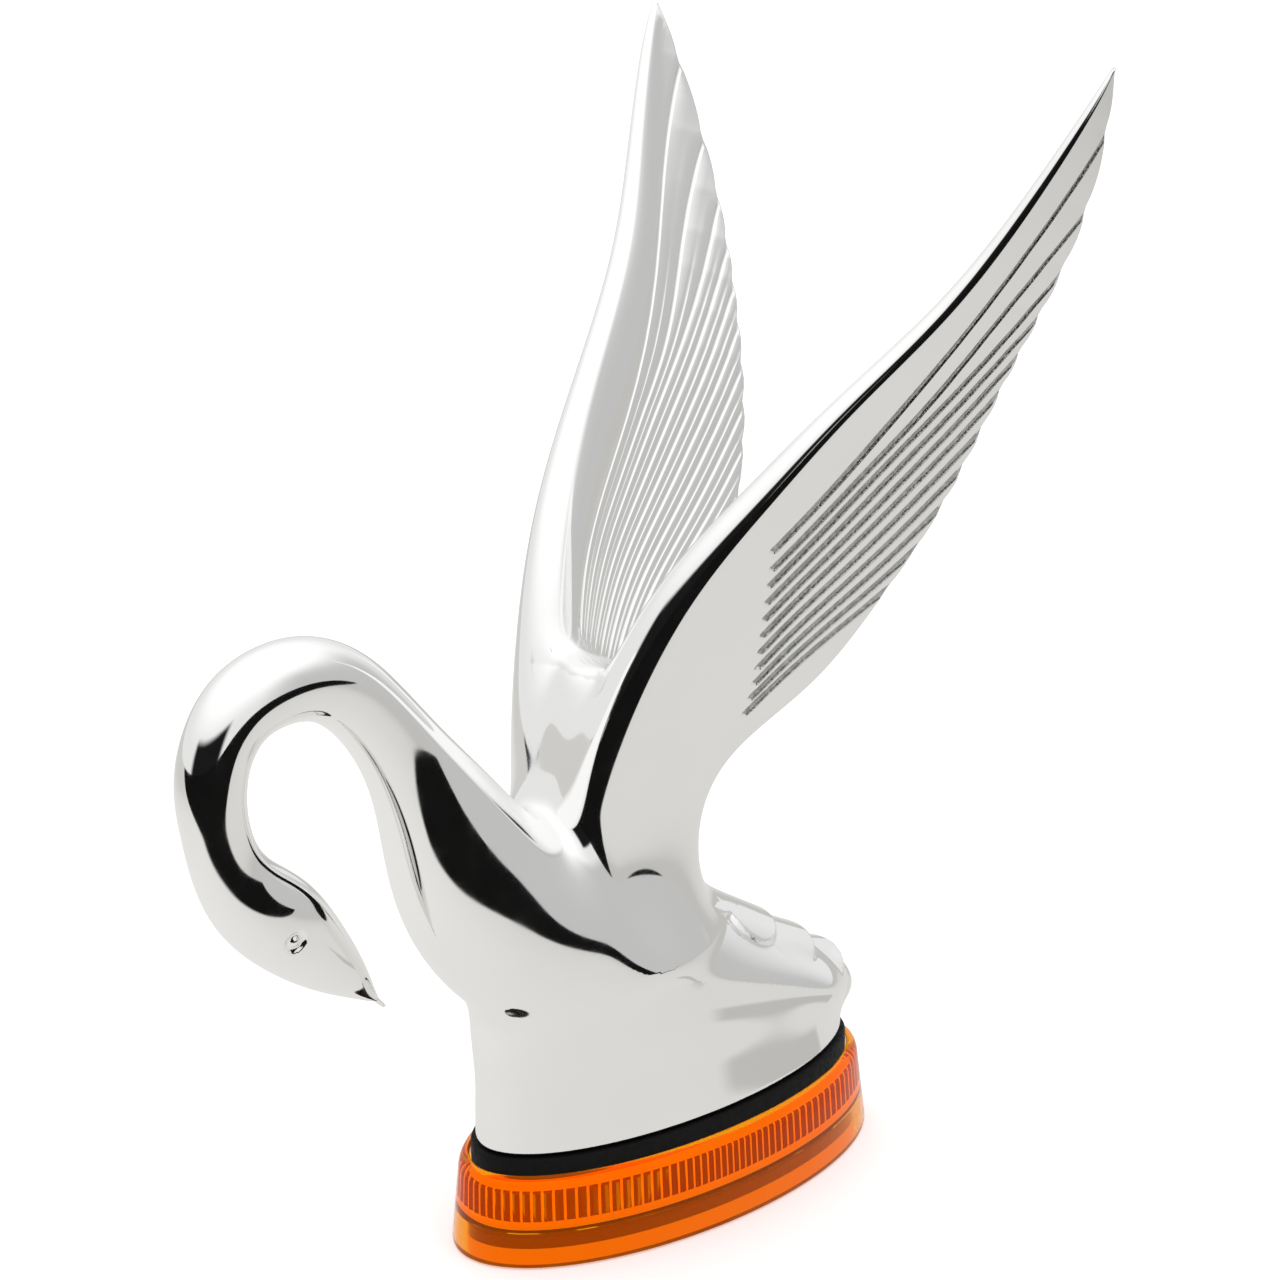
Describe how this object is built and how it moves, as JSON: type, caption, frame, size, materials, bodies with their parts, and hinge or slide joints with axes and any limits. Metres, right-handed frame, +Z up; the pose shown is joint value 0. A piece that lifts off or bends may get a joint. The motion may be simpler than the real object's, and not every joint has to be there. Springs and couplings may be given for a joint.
{
  "type": "hood ornament",
  "caption": "Chrome swan hood ornament with raised wings and a looped neck, standing on an oval amber lens base with a twist-lock lamp.",
  "frame": {"origin": "midway between the two hood posts, on the plane of the hood that the lens and the posts stand on", "axes": "+X is the way the swan faces, +Y is the swan's left side, +Z is up, away from the hood"},
  "size_m": [0.1564, 0.1164, 0.2095],
  "materials": {
    "chrome": "bright polished chrome plate",
    "amber": "clear amber moulded acrylic",
    "black_rubber": "matt black rubber",
    "dark_nylon": "fine-textured moulded nylon",
    "zinc_steel": "zinc-plated steel",
    "brass": "stamped brass strip",
    "clear_glass": "clear lamp glass",
    "filament": "drawn tungsten and nickel wire"
  },
  "bodies": {
    "ornament": {"swan_casting": "chrome", "body_gasket": "black_rubber", "lens": "amber", "base_plate": "dark_nylon", "plate_seal": "black_rubber", "plate_screws": "zinc_steel", "screw_washers": "zinc_steel"},
    "lamp": {"lamp_holder": "dark_nylon", "holder_seal": "black_rubber", "holder_contacts": "brass", "wire_bushing": "black_rubber", "bulb_glass": "clear_glass", "bulb_filament": "filament", "bulb_leads": "filament"}
  },
  "joints": [
    {"name": "lamp_twist", "type": "hinge", "parent": "ornament", "child": "lamp", "pos_m": [0, 0, 0.0041], "axis": [0, 0, 1], "range_deg": [0, 60]}
  ]
}
